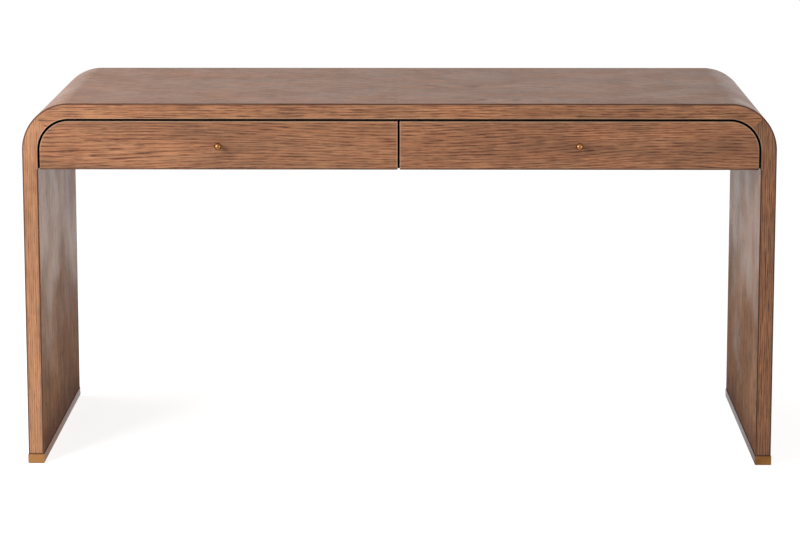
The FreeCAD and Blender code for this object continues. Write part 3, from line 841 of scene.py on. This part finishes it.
for where, ends, easings in (("front", (front_y, core_front_y), (edge_easing, 0.0)),
                             ("rear", (core_back_y, back_y), (0.0, edge_easing))):
    for side, marks, finish in (("top", top_marks, top_lipping_oak),
                                ("left", mirrored(leg_marks), left_lipping_oak),
                                ("right", leg_marks, right_lipping_oak)):
        band_strip(f"{side}_{where}_lipping", f"{where}_edge_{side}", marks, ends, easings, finish)
for side, marks in (("left", mirrored(bend_marks)), ("right", bend_marks)):
    band_strip(f"{side}_veneered_bend", f"{side}_corner_bend", marks, (core_front_y, core_back_y),
               (0.0, 0.0), band_veneer)

# %% [markdown]
# ## Boards from an outline
# A board with a shaped corner is quickest as an outline, pulled to its thickness. A Bevel modifier eases
# the edges, and its hardened normals keep the face flat right up to them.

# %% Outlines made solid
def keep_form(name, form, finish):
    """Turn a bmesh into a piece with a finish, shaded smooth."""
    mesh = bpy.data.meshes.new(name)
    form.to_mesh(mesh)
    form.free()
    mesh.materials.append(finish)
    mesh.shade_smooth()
    return new_object(name, mesh)


def ease_edges(piece, width):
    """Round the real edges of a piece, and keep its flat faces flat."""
    eased = piece.modifiers.new("eased_edges", "BEVEL")
    eased.width = width
    eased.segments = 3
    eased.limit_method = "ANGLE"
    eased.harden_normals = True


def pulled_outline(name, outline, y0, y1, finish):
    """A flat outline, given as X and Z, made solid from y0 to y1."""
    form = bmesh.new()
    near = [form.verts.new((x, y0, z)) for x, z in outline]
    far = [form.verts.new((x, y1, z)) for x, z in outline]
    form.faces.new(near)
    form.faces.new(list(reversed(far)))
    for index in range(len(outline)):
        form.faces.new((near[index - 1], far[index - 1], far[index], near[index]))
    bmesh.ops.recalc_face_normals(form, faces=form.faces)
    return keep_form(name, form, finish)

print("outlines can be made solid")

# %% [markdown]
# ## The drawer fronts
# Each front has one round upper corner, which follows the inside of the bend at the width of the gap.
# Both have the same centre, so the corner's radius is how far the front reaches past the flat of the top.
# Its edges are crisp on the real desk, so the easing is small.

# %% Cut the drawer fronts
front_easing = 0.0003
corner_steps = 28
for side, sign, finish in (("left", -1, left_front_oak), ("right", 1, right_front_oak)):
    low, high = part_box(side + "_drawer_front")
    inner_x, outer_x = sorted((abs(low.x), abs(high.x)))
    corner_radius = outer_x - flat_half
    outline = [(inner_x, low.z), (inner_x, high.z)]
    for turn in steps(quarter_turn, 0.0, corner_steps):
        outline.append((flat_half + corner_radius * math.cos(turn),
                        bend_level + corner_radius * math.sin(turn)))
    outline.append((outer_x, low.z))
    outline = [(sign * x, z) for x, z in outline]
    front = pulled_outline(side + "_oak_drawer_front", outline, low.y, high.y, finish)
    ease_edges(front, front_easing)
    stand_for(front, side + "_drawer_front", side + "_drawer")

# %% [markdown]
# ## Turning on a lathe
# A lathe spins a form against a cutter, so one outline describes it all. The spin is done ring by ring
# here, which closes each pole in a single point and turns every face outwards.

# %% Turn an outline
def turned(name, outline, start, direction, sides, finish):
    """Spin an outline of radius and distance round an axis. It starts and ends on the axis."""
    across = direction.orthogonal().normalized()
    other = direction.cross(across)
    form = bmesh.new()
    rings = []
    for radius, distance in outline:
        centre = start + direction * distance
        if radius == 0:
            rings.append([form.verts.new(centre)] * sides)
        else:
            turns = [2 * math.pi * step / sides for step in range(sides)]
            rings.append([form.verts.new(centre + across * (radius * math.cos(turn))
                                         + other * (radius * math.sin(turn))) for turn in turns])
    for near, far in zip(rings, rings[1:]):
        for step in range(sides):
            corners = [near[step - 1], near[step], far[step], far[step - 1]]
            form.faces.new(list(dict.fromkeys(corners)))
    bmesh.ops.recalc_face_normals(form, faces=form.faces)
    return keep_form(name, form, finish)

print("the lathe is ready")

# %% [markdown]
# ## The knobs
# Each knob is a thin base, a short waist and a ball. The solid has the same form with fewer faces, but a
# small bright ball shows every corner, so it gets a finer outline here.

# %% Turn the knobs
knob_sides, ball_steps = 48, 22
ball_radius = 0.01555 / 2
waist_radius, waist_at = 0.0038, 0.0023
base_radius = 0.0052
base_curve = [(0.0, 0.0), (0.0, 0.0009), (-0.0002, 0.0013), (-0.0006, 0.0015)]
waist_curve = [(0.0004, 0.0017), (0.0, waist_at)]
for side in ("left", "right"):
    low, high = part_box(side + "_drawer_knob")
    length = high.y - low.y
    seat = Vector(((low.x + high.x) / 2, high.y, (low.z + high.z) / 2))
    outline = [(0.0, 0.0)] + [(base_radius + inwards, distance) for inwards, distance in base_curve]
    outline += [(waist_radius + outwards, distance) for outwards, distance in waist_curve]
    for turn in steps(math.pi - math.asin(waist_radius / ball_radius), 0.0, ball_steps)[:-1]:
        outline.append((ball_radius * math.sin(turn), length - ball_radius + ball_radius * math.cos(turn)))
    outline.append((0.0, length))
    knob = turned(side + "_brass_knob", outline, seat, Vector((0, -1, 0)), knob_sides, knob_brass)
    settle_shading(knob)
    stand_for(knob, side + "_drawer_knob", side + "_drawer")

# %% [markdown]
# ## The brass shoes
# Folded brass never has a knife edge: half a millimetre of roundness runs along the rim and catches the
# light. The solid has the tray and the screw holes already, so its mesh is copied and joined up at the
# seams, and its flat triangles are melted into whole faces. A Bevel modifier then only meets real edges.

# %% Ease the edges of the shoes
shoe_easing = 0.0005
nearly_flat = math.radians(0.5)


def joined_copy(node):
    """A copy of a CAD node's loose triangles, joined up where their corners meet."""
    form = bmesh.new()
    form.from_mesh(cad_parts[node].data)
    bmesh.ops.remove_doubles(form, verts=form.verts, dist=seam_gap)
    return form


for side, finish in (("left", left_shoe_brass), ("right", right_shoe_brass)):
    form = joined_copy(side + "_foot_shoe")
    bmesh.ops.dissolve_limit(form, angle_limit=nearly_flat, verts=form.verts, edges=form.edges)
    shoe = keep_form(side + "_brass_shoe", form, finish)
    ease_edges(shoe, shoe_easing)
    stand_for(shoe, side + "_foot_shoe", "desk")

# %% [markdown]
# ## One screw after another
# Screws are the plainest case of a shape that repeats. The solids hold six-sided pins at the right
# places, a whole group in one mesh. The mesh is walked from point to point along its edges, and what can
# be reached is one screw.

# %% Separate bodies of a mesh
def islands(form):
    """The separate bodies of a mesh, each as a list of its points, always in the same order."""
    for first in form.verts:
        if first.tag:
            continue
        first.tag = True
        waiting, points = [first], []
        while waiting:
            point = waiting.pop()
            points.append(point.co.copy())
            for edge in point.link_edges:
                other = edge.other_vert(point)
                if not other.tag:
                    other.tag = True
                    waiting.append(other)
        yield points


form = joined_copy("shoe_screws")
print("the shoe screws are", len(list(islands(form))), "bodies")
form.free()

# %% [markdown]
# ## Where the screws sit
# Along its own axis, the corners of a pin lie on three levels only: the flat of the head, the end of the
# head and the tip. So the axis is the direction with the fewest levels, and the wider end is the head.
# That gives the seat, the direction and every size.

# %% Read the screws of a solid
level_digits = 5
same_level = 10 ** -level_digits


def read_screws(node):
    """Every screw of a CAD node: its seat, its direction, and its sizes."""
    form = joined_copy(node)
    screws = []
    for points in islands(form):
        levels = [sorted({round(point[axis], level_digits) for point in points}) for axis in range(3)]
        axis = min(range(3), key=lambda index: len(levels[index]))
        rings = []
        for level in levels[axis]:
            ring = [point for point in points if abs(point[axis] - level) < same_level]
            centre = sum(ring, Vector()) / len(ring)
            rings.append((max((point - centre).length for point in ring), level, centre))
        if rings[0][0] < rings[-1][0]:
            rings.reverse()
        (head_radius, head_level, seat), (shank_radius, tip_level, _) = rings[0], rings[-1]
        direction = Vector()
        direction[axis] = math.copysign(1.0, tip_level - head_level)
        screws.append((seat, direction, {
            "Head Radius": head_radius, "Head Height": abs(rings[1][1] - head_level),
            "Shank Radius": shank_radius, "Length": abs(tip_level - head_level)}))
    form.free()
    return screws


for node in ("case_screws", "shoe_screws", "left_drawer_knob_screw"):
    seats, _, sizes = zip(*read_screws(node))
    print(node, len(seats), "screws, head", round(2000 * sizes[0]["Head Radius"], 2), "mm wide")

# %% [markdown]
# ## A round screw with a cross in its head
# One screw is a cone for the head, a pin for the shank, and two crossed blocks that a Boolean cuts out.
# The blocks are a little longer than the head's radius and are centred on its face, so the cross reaches
# a little over halfway into the head.

# %% One screw
head_sides, shank_sides = 32, 16
tip_share = 0.5
slot_length, slot_width, slot_depth = 1.15, 0.24, 1.1
screw_sizes = ("Head Radius", "Head Height", "Neck Radius", "Shank Radius", "Length")
cross_screw, given, screw_end = new_group(
    "cross_screw", "GeometryNodeTree",
    {"Seats": "Geometry", **dict.fromkeys(screw_sizes, "Float"), "Seed": "Int", "Finish": "Material"},
    {"Screws": "Geometry"})


def cone(sides, bottom, top, depth):
    """A cone along Z that is cut off at its top radius."""
    return add_node(cross_screw, "GeometryNodeMeshCone", {
        "Vertices": sides, "Radius Bottom": bottom, "Radius Top": top, "Depth": depth})


head = cone(head_sides, given["Head Radius"], given["Neck Radius"], given["Head Height"])
half_head = given["Head Height"] * 0.5
tip_radius = given["Shank Radius"] * tip_share
shank = cone(shank_sides, given["Shank Radius"], tip_radius, given["Length"] - half_head)
sunk_shank = add_node(cross_screw, "GeometryNodeTransform", {
    "Geometry": shank, "Translation": join(0.0, 0.0, half_head)})
blank = add_node(cross_screw, "GeometryNodeMeshBoolean", operation="UNION", solver="EXACT")
for shape in (head, sunk_shank):
    feed(blank, {"Mesh 2": shape})
cut = add_node(cross_screw, "GeometryNodeMeshBoolean", {"Mesh 1": blank}, operation="DIFFERENCE",
               solver="EXACT")
arm_length = given["Head Radius"] * slot_length
arm_width = given["Head Radius"] * slot_width
for arm in ((arm_length, arm_width), (arm_width, arm_length)):
    size = join(*arm, given["Head Height"] * slot_depth)
    feed(cut, {"Mesh 2": add_node(cross_screw, "GeometryNodeMeshCube", {"Size": size})})
print("one screw:", len(cross_screw.nodes), "nodes")

# %% [markdown]
# ## A screw on every seat
# The tree puts a copy on every point, turned to the direction that the point carries. No two screws stop
# at the same turn, so each gets its own twist from a fixed seed, up to a quarter turn.

# %% Copies on the seats
into = add_node(cross_screw, "GeometryNodeInputNamedAttribute", {"Name": "into"}, data_type="FLOAT_VECTOR")
turned_in = add_node(cross_screw, "FunctionNodeAlignRotationToVector", {"Vector": into}, axis="Z")
twist = add_node(cross_screw, "FunctionNodeRandomValue", {2: 0.0, 3: quarter_turn, "Seed": given["Seed"]},
                 data_type="FLOAT")
twist_turn = add_node(cross_screw, "FunctionNodeAxisAngleToRotation", {
    "Axis": (0.0, 0.0, 1.0), "Angle": twist.outputs[1]})
twisted = add_node(cross_screw, "FunctionNodeRotateRotation", {
    "Rotation": turned_in, "Rotate By": twist_turn}, rotation_space="LOCAL")
copies = add_node(cross_screw, "GeometryNodeInstanceOnPoints", {
    "Points": given["Seats"], "Instance": cut, "Rotation": twisted})
close_tree(cross_screw, copies, given["Finish"], screw_end)

# %% [markdown]
# ## Drive the screws
# Each group of screws becomes one mesh, on the body that carries it. The points go in as a mesh of
# nothing but vertices, and each carries its direction as an attribute, which the tree reads by name.

# %% Drive the screws
def drive_screws(name, node, body, seed, finish=screw_zinc, neck="Shank Radius"):
    """The round screws of one CAD node, in its place. neck says which size the head ends in below."""
    seats, directions, sizes = zip(*read_screws(node))
    mesh = bpy.data.meshes.new("seats")
    mesh.from_pydata(seats, [], [])
    into = mesh.attributes.new("into", "FLOAT_VECTOR", "POINT")
    for value, direction in zip(into.data, directions):
        value.vector = direction
    piece = grow(name, new_object("seats", mesh), cross_screw, {
        **sizes[0], "Neck Radius": sizes[0][neck], "Seed": seed, "Finish": finish})
    stand_for(piece, node, body)


drive_screws("case_board_screws", "case_screws", "desk", 1)
drive_screws("case_rail_screws", "case_channel_screws", "desk", 2)
drive_screws("brass_shoe_screws", "shoe_screws", "desk", 3, screw_brass)
for seed, side in ((4, "left"), (7, "right")):
    drawer = side + "_drawer"
    drive_screws(side + "_box_screws", drawer + "_front_screws", drawer, seed)
    drive_screws(side + "_rail_screws", drawer + "_channel_screws", drawer, seed + 1)
    drive_screws(side + "_knob_bolt", drawer + "_knob_screw", drawer, seed + 2, neck="Head Radius")

# %% [markdown]
# ## Floor and room
# The desk stands on a plain pale floor in a soft white room. Light Path tells what the camera and the
# reflections see from what lights the wood: they see white, and the wood is lit at a plain level, so the
# colours stay as they were mixed.

# %% Floor and world
floor_half, floor_drop = 30.0, -0.0005
floor_grey = (0.5, 0.5, 0.5, 1.0)
floor_glow = 0.82
room_light = 0.36


def seen_directly(tree):
    """1 for rays from the camera and from shiny or clear surfaces, else 0."""
    rays = add_node(tree, "ShaderNodeLightPath").outputs
    seen = calc("MAXIMUM", Wire(rays["Is Camera Ray"]), rays["Is Glossy Ray"])
    return calc("MAXIMUM", seen, rays["Is Transmission Ray"])


floor_mesh = bpy.data.meshes.new("floor")
floor_mesh.from_pydata([(x * floor_half, y * floor_half, floor_drop)
                        for x, y in ((-1, -1), (1, -1), (1, 1), (-1, 1))], [], [(0, 1, 2, 3)])
new_object("floor", floor_mesh)
floor_paint, tree, matt = new_finish("floor_paint")
floor_mesh.materials.append(floor_paint)
feed(matt, {"Base Color": floor_grey, "Roughness": 0.9, "Specular IOR Level": 0.0})
glow = add_node(tree, "ShaderNodeEmission", {"Color": white, "Strength": seen_directly(tree) * floor_glow})
both = add_node(tree, "ShaderNodeAddShader", {0: matt, 1: glow})
feed(tree.nodes["Material Output"], {"Surface": both})

world = bpy.data.worlds.new("studio")
bpy.context.scene.world = world
world.use_nodes = True
strength = seen_directly(world.node_tree) * (1.0 - room_light) + room_light
feed(world.node_tree.nodes["Background"], {"Color": white, "Strength": strength})
print("floor and world ready")

# %% [markdown]
# ## Lamps
# Area lamps are large soft boxes. The key stands close, high at the left front, so the left leg gets more
# light than the right one. A broad fill far to the right lights the inner side of the left leg, and a
# small lamp above the top leaves its paler patch at the left.

# %% Lamps
def soft_box(name, place, target, size, power):
    """An area lamp at a place, turned to a target."""
    data = bpy.data.lights.new(name, "AREA")
    data.shape = "RECTANGLE"
    data.size, data.size_y = size
    data.energy = power
    lamp = new_object(name, data)
    lamp.location = place
    lamp.rotation_euler = (Vector(target) - Vector(place)).to_track_quat("-Z", "Y").to_euler()
    print(name, power, "W")


soft_box("key_lamp", (-2.2, -2.1, 1.7), (-0.2, -0.2, 0.5), (1.4, 1.4), 92.0)
soft_box("fill_lamp", (6.5, -3.5, 1.2), (-0.4, 0.0, 0.4), (5.0, 2.4), 170.0)
soft_box("top_lamp", (-1.8, 0.3, 2.0), (-0.7, 0.0, 0.78), (1.2, 1.2), 12.0)

# %% [markdown]
# ## Camera
# The view was fitted to the photograph's edges: a long lens, six metres away, that looks down by nine and
# a half degrees. The camera is turned to the side, tilted down and then rolled a hair. The lens shift is
# small, because the other views keep it too, so the upright edges still run together a little.

# %% Camera
picture_width = 800
focal_pixels = 2901.6
camera_right, camera_away, camera_height = 0.0789, 6.0811, 1.5877
yaw, pitch, roll = (math.radians(angle) for angle in (-1.017, 9.476, -0.098))
place = Matrix.Translation((camera_right, front_y - camera_away, camera_height))
sideways = Matrix.Rotation(-yaw, 4, "Z")
down = Matrix.Rotation(quarter_turn - pitch, 4, "X")

camera_data = bpy.data.cameras.new("camera")
camera = new_object("camera", camera_data)
camera.matrix_world = place @ sideways @ down @ Matrix.Rotation(roll, 4, "Z")
camera_data.sensor_width = 36.0
camera_data.lens = focal_pixels * camera_data.sensor_width / picture_width
camera_data.shift_x, camera_data.shift_y = 0.01875, -0.08
camera_data.clip_end = 200.0
bpy.context.scene.camera = camera
bpy.context.scene.view_settings.view_transform = "Standard"
print("camera lens", round(camera_data.lens, 1), "mm")
